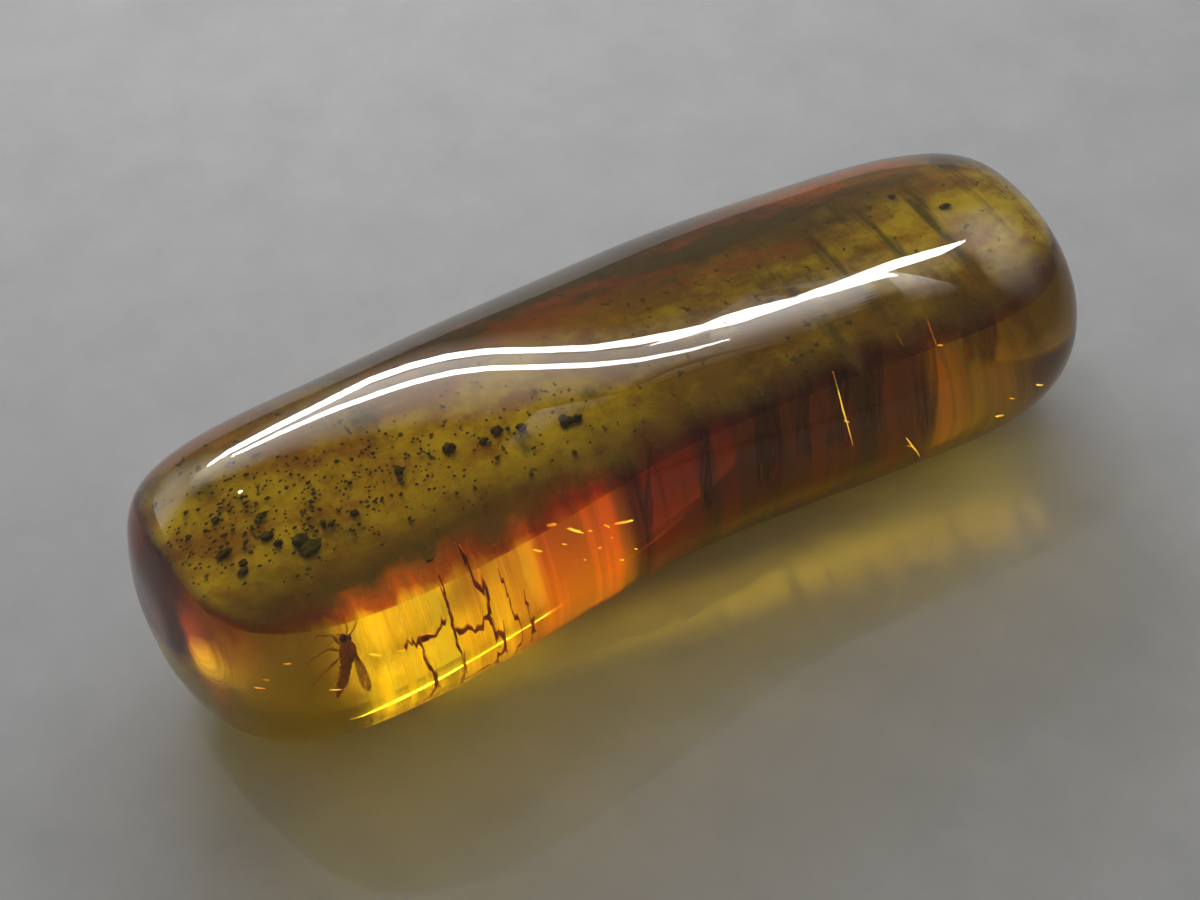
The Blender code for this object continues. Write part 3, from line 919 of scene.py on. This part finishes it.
for turn in range(0, 180, 20):
    aside, up = round_body(turn)
    for lean in (0.55, 0.9):
        out = Vector((0.35 - lean * 0.6, aside * lean, 0.35 + up))
        root = Vector(THORAX) + Vector(a * b for a, b in zip(out.normalized(), THORAX_RADII))
        hairs.append(hair(root, out, HUMP_HAIR))
for side in (1, -1):
    eyes.append(ball(*on_side([EYE], side), EYE_RADII))
    shell.append(ball(on_side(HALTERE, side)[-1], HALTERE_KNOB, 12, 8))
    limbs.append(in_metres(on_side(HALTERE, side), HALTERE_WIDTHS))
    limbs.append(in_metres(on_side(PALP, side), PALP_WIDTHS))
    feeler, places, widths = on_side(FEELER, side), [], []
    for bead in range(FEELER_BEADS * 2 + 1):
        share = bead / (FEELER_BEADS * 2)
        places.append(between(feeler, share))
        widths.append((BEAD_WIDTH if bead % 2 else BEAD_NECK) * (1 - 0.45 * share))
        if bead % 2:
            for way in ((0.4, 1, 0.3), (0.4, -1, 0.3), (0.4, 0.2, 1), (0.4, 0, -1)):
                hairs.append(hair(places[-1], way, PLUME_HAIR))
    limbs.append(in_metres(places, widths))
    for leg in LEGS:
        spread = side if side > 0 else side * RIGHT_LEG_SPREAD
        hip, knee, ankle, toe = (Vector(point) for point in on_side(leg, spread))
        places = [hip, hip.lerp(knee, 0.12), (hip + knee) / 2, knee.lerp(hip, 0.06), knee]
        widths = [HIP_WIDTH * 0.8, HIP_WIDTH * 0.6, HIP_WIDTH * 1.15, KNEE_WIDTH, KNEE_WIDTH * 0.6]
        places += [knee.lerp(ankle, 0.08), knee.lerp(ankle, 0.6), ankle]
        widths += [SHIN_WIDTH * 0.8, SHIN_WIDTH, SHIN_WIDTH * 1.1]
        for joint in range(1, TOE_JOINTS + 1):
            places.append(ankle.lerp(toe, joint / TOE_JOINTS))
            widths.append(TOE_WIDTH * (1.25 if joint % 2 else 0.85))
        limbs.append(in_metres(places, widths))
        for step in range(1, SHIN_STEPS):
            way = (0.5, side if step % 2 else -side, 0.2)
            hairs.append(hair(knee.lerp(ankle, step / SHIN_STEPS), way, SHIN_HAIR))
        for way, length in SPURS:
            hairs.append(hair(ankle, *on_side([way], side), length))
    wing_turn = Euler((0.0, -math.radians(WING_LIFT), side * math.radians(WING_SWEEP)), "XYZ")
    wing_root = Vector(*on_side([WING_ROOT], side))

    def wing_point(u, v):
        """A point of one wing: share along it from the root, share across it from its rear edge."""
        half = WING_WIDTH * math.sqrt(max(u * (1 - u), 0)) * (WING_WAIST + (1 - WING_WAIST) * u)
        lift = WING_RIPPLE * math.sin(14 * u + 3 * v) + WING_CROWN * math.sin(math.pi * v)
        point = Vector((WING_LENGTH * u, -side * half * (2 * v - 1), lift))
        point.rotate(wing_turn)
        return (point + wing_root) * MM

    wing = new_sheet("wing", *WING_GRID, wing_point)
    skin_depth = wing.modifiers.new("skin", "SOLIDIFY")
    skin_depth.thickness = WING_SKIN * MM
    skin_depth.offset = 0
    bpy.ops.object.modifier_apply(modifier=skin_depth.name)
    membranes.append(wing)
    shares = [step / VEIN_STEPS for step in range(VEIN_STEPS + 1)]
    for path in WING_VEINS:
        places = [wing_point(*between(path, share)) for share in shares]
        veins.append((places, [part_way(*VEIN_WIDTHS, share) * MM for share in shares]))


def chitin(name, dark, pale, glow_share):
    """Horn-like skin, mottled and finely pitted; thin parts glow by their share."""
    made, wire = new_material(name)
    here = own_place(wire)
    tone = blend(wire, noise(wire, here, 9000.0, 4.0).clip(0.38, 0.62), dark, pale)
    bumps = wire.node("Bump", {}, {
        "Strength": 0.4, "Distance": 0.01 * MM, "Height": noise(wire, here, 22000.0, 2.0),
    })
    put_out(wire, layered(
        wire, glow_share, matter(wire, tone, 0.35, {"Normal": bumps}),
        wire.node("BsdfTranslucent", {}, {"Color": CHITIN_GLOW}),
    ))
    return made


body_chitin = chitin("chitin", CHITIN_DARK, CHITIN_PALE, 0.5)
limb_chitin = chitin("pale chitin", CHITIN_PALE, LIMB_PALE, 0.6)
facets, wire = new_material("eye facets")
cells = wire.node("TexVoronoi", {}, {"Vector": own_place(wire), "Scale": 30000.0})
put_out(wire, matter(wire, blend(wire, cells.clip(0.2, 0.7), EYE_RIDGE, EYE_RED), 0.25, {
    "Normal": wire.node("Bump", {}, {"Strength": 0.6, "Distance": 0.01 * MM, "Height": 1 - cells}),
}))
membrane, wire = new_material("wing membrane")
put_out(wire, layered(
    wire, noise(wire, own_place(wire), 5000.0, 3.0).clip(0.35, 0.65, 0.25, 0.50),
    sheer(wire, WING_CLEAR), matter(wire, WING_BROWN, 0.25),
))
for things, material in ((shell, body_chitin), (eyes, facets), (membranes, membrane)):
    for thing in things:
        thing.data.materials.append(material)
for name, runs, sides, material in (
    ("limbs", limbs, 2, body_chitin), ("hairs", hairs, 0, limb_chitin),
    ("veins", veins, 1, limb_chitin),
):
    thing = threads(name, runs, sides)
    thing.data.materials.append(material)
    shell.append(thing)
gnat = join_as("gnat", shell + eyes + membranes)
turn = Euler([math.radians(angle) for angle in GNAT_TURN], "XYZ").to_matrix().to_4x4()
gnat.data.transform(Matrix.Translation(GNAT_PLACE) @ turn)
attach(gnat, "root")
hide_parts("insect")

# ---- studio light ----------------------------------------------------
# Two bright strip lamps, soft gauze veils above and below them with a card in front, a gauze board
# off either end, and a bare bulb: each stands where the polished face mirrors it to the places in
# the frame given here. Narrow warm beams fall through the resin to the floor from behind.
WORLD_COLOUR, WORLD_STRENGTH = (1.0, 0.98, 0.95, 1), 0.2
STRIP_RADIANCE = 26.0
UPPER_STRIP = (  # across, down and thickness in the frame
    (207, 466, 2), (230, 451, 5), (280, 425, 6), (330, 400, 6), (370, 380, 6), (410, 366, 6),
    (450, 356, 6), (490, 351, 6), (540, 350, 6), (590, 348, 6), (640, 341, 7), (690, 331, 7),
    (740, 319, 8), (790, 302, 8), (840, 285, 9), (890, 266, 10), (940, 251, 8), (965, 241, 2),
)
LOWER_STRIP = (
    (232, 456, 2), (280, 433, 4), (330, 411, 5), (380, 393, 5), (410, 383, 5), (450, 373, 5),
    (490, 368, 5), (540, 367, 5), (590, 365, 5), (640, 360, 4), (690, 350, 3), (730, 339, 1),
)
VEIL = (  # across, then its top, its brightest line and its bottom
    (190, 468, 478, 492), (207, 457, 467, 486), (280, 413, 430, 457), (355, 376, 390, 438),
    (430, 344, 365, 427), (490, 333, 355, 420), (560, 325, 355, 405), (640, 322, 348, 390),
    (740, 292, 326, 356), (840, 258, 290, 322), (940, 228, 256, 284), (990, 210, 232, 262),
)
CARD_SPAN, CARD_ROWS = (5.6, 7.7), 10  # the rows of the lower veil that the card covers
VEIL_RADIANCE = 4.6
CARD_RADIANCE = 0.85 * VEIL_RADIANCE
VEIL_TOP_FADE = ((0.0, 0.0), (0.7, 0.22), (1.0, 0.7))
VEIL_LOW_FADE = ((0.0, 0.0), (0.25, 0.26), (0.65, 0.62), (1.0, 1.0))
VEIL_ENDS = ((0.0, 0.2), (0.12, 1.0), (0.5, 0.85), (0.8, 0.5), (1.0, 0.0))
RIGHT_BOARD = (  # across and down of its one edge, then of its other
    (925, 205, 940, 246), (960, 205, 975, 262), (985, 200, 990, 285), (1015, 212, 1012, 300),
    (1048, 258, 1042, 308),
)
LEFT_BOARD = (
    (225, 440, 232, 470), (165, 472, 190, 500), (134, 520, 165, 535), (130, 580, 155, 580),
)
BOARD_RADIANCE, BOARD_FADE = 1.6, ((0.0, 0.0), (0.35, 1.0), (0.65, 1.0), (1.0, 0.0))
STRIP_DISTANCE, VEIL_DISTANCE = 0.75, 0.85  # m
LOWER_DISTANCE, CARD_DISTANCE = 0.10, 0.11  # near, or the face would mirror them twice
BULB_PLACE, BULB_SIZE, BULB_RADIANCE = (240, 492), 0.02, 400.0
BEAM_PLACE, BEAM_DISTANCE, BEAM_SPREAD = (168, 32), 60 * MM, 1.6  # azimuth and elevation, m, degrees
BEAM_COLOUR = (1.0, 0.90, 0.66)
BEAMS = (  # aim on the floor, width and height in mm, watts
    ((-12.8, 2.0), (7.0, 1.9), 0.0046),
    ((-5.6, 2.1), (6.0, 1.9), 0.0018),
    ((20.0, 0.8), (5.0, 1.8), 0.0002),
    ((2.0, -8.2), (34.0, 1.2), 0.0005),
)

world = bpy.data.worlds.new("studio")
world.use_nodes = True
world.node_tree.nodes["Background"].inputs["Color"].default_value = WORLD_COLOUR
world.node_tree.nodes["Background"].inputs["Strength"].default_value = WORLD_STRENGTH
bpy.context.scene.world = world


def glint(across, down, distance):
    """Where a lamp must stand for the amber to mirror it to a place in the frame."""
    way = sight_line(across, down)
    _, place, _, face_number = amber.ray_cast(camera.location, way)
    corners = [amber.data.vertices[vert] for vert in amber.data.polygons[face_number].vertices]
    shares = poly_3d_calc([corner.co for corner in corners], place)
    normal = sum((corner.normal * share for corner, share in zip(corners, shares)), Vector())
    normal.normalize()
    return place + (way - 2 * way.dot(normal) * normal) * distance


def make_lamp(thing, radiance, fade=None, side_fade=None, gauze=False):
    """Turns a mesh into a lamp that the camera doesn't see; one of gauze hides nothing.

    Its light fades across it by the one row of stops, and along it by the other.
    """
    shine, wire = new_material(thing.name + " light")
    strength = radiance
    along, across = sheet_axes(wire)
    for stops, place in ((fade, across), (side_fade, along)):
        if stops:
            greys = [(stop, (level, level, level, 1)) for stop, level in stops]
            strength = strength * wire.node("ValToRGB", {"stops": greys}, {0: place})
    shining = wire.node("Emission", {}, {"Color": (1, 1, 1, 1), "Strength": strength})
    if gauze:
        shining = wire.node("AddShader", {}, {0: shining, 1: sheer(wire)})
    put_out(wire, shining)
    thing.data.materials.append(shine)
    thing.visible_camera = False


def mirrored_sheet(name, distance, rows):
    """A lamp sheet from rows of two frame places: where its fade ends, and where it starts."""
    def place(u, v):
        end_across, end_down, start_across, start_down = between(rows, u)
        across, down = part_way(start_across, end_across, v), part_way(start_down, end_down, v)
        return glint(across, down, distance)
    return new_sheet(name, 4 * len(rows), 8, place)


for name, path, distance in (
    ("upper_strip", UPPER_STRIP, STRIP_DISTANCE), ("lower_strip", LOWER_STRIP, LOWER_DISTANCE),
):
    rows = [(across, down - thick / 2, across, down + thick / 2) for across, down, thick in path]
    make_lamp(mirrored_sheet(name, distance, rows), STRIP_RADIANCE)
veil_low = [(across, line, across, low) for across, _, line, low in VEIL]
veil_top = [(across, line, across, top) for across, top, line, _ in VEIL]
card_rows = [part_way(*CARD_SPAN, step / (CARD_ROWS - 1)) for step in range(CARD_ROWS)]
card = [between(veil_low, row / (len(VEIL) - 1)) for row in card_rows]
make_lamp(mirrored_sheet("veil_card", CARD_DISTANCE, card), CARD_RADIANCE, VEIL_LOW_FADE)
for name, rows, radiance, fade, side_fade in (
    ("veil_above", veil_top, VEIL_RADIANCE, VEIL_TOP_FADE, VEIL_ENDS),
    ("veil_below", veil_low, VEIL_RADIANCE, VEIL_LOW_FADE, VEIL_ENDS),
    ("right_board", RIGHT_BOARD, BOARD_RADIANCE, BOARD_FADE, BOARD_FADE),
    ("left_board", LEFT_BOARD, BOARD_RADIANCE, BOARD_FADE, BOARD_FADE),
):
    make_lamp(mirrored_sheet(name, VEIL_DISTANCE, rows), radiance, fade, side_fade, gauze=True)
bpy.ops.mesh.primitive_uv_sphere_add(
    segments=16, ring_count=8, radius=BULB_SIZE / 2, location=glint(*BULB_PLACE, STRIP_DISTANCE)
)
bpy.context.object.name = "bulb"
make_lamp(bpy.context.object, BULB_RADIANCE)
for number, ((along, aside), (width, height), power) in enumerate(BEAMS):
    beam_data = bpy.data.lights.new(f"beam_{number}", "AREA")
    beam_data.shape = "RECTANGLE"
    beam_data.size, beam_data.size_y = width * MM, height * MM
    beam_data.spread = math.radians(BEAM_SPREAD)
    beam_data.energy = power
    beam_data.color = BEAM_COLOUR
    beam = bpy.data.objects.new(f"beam_{number}", beam_data)
    bpy.context.scene.collection.objects.link(beam)
    aim = Vector((along, aside, 0)) * MM
    face(beam, aim + direction(*BEAM_PLACE) * BEAM_DISTANCE, aim)
    beam.visible_camera = False
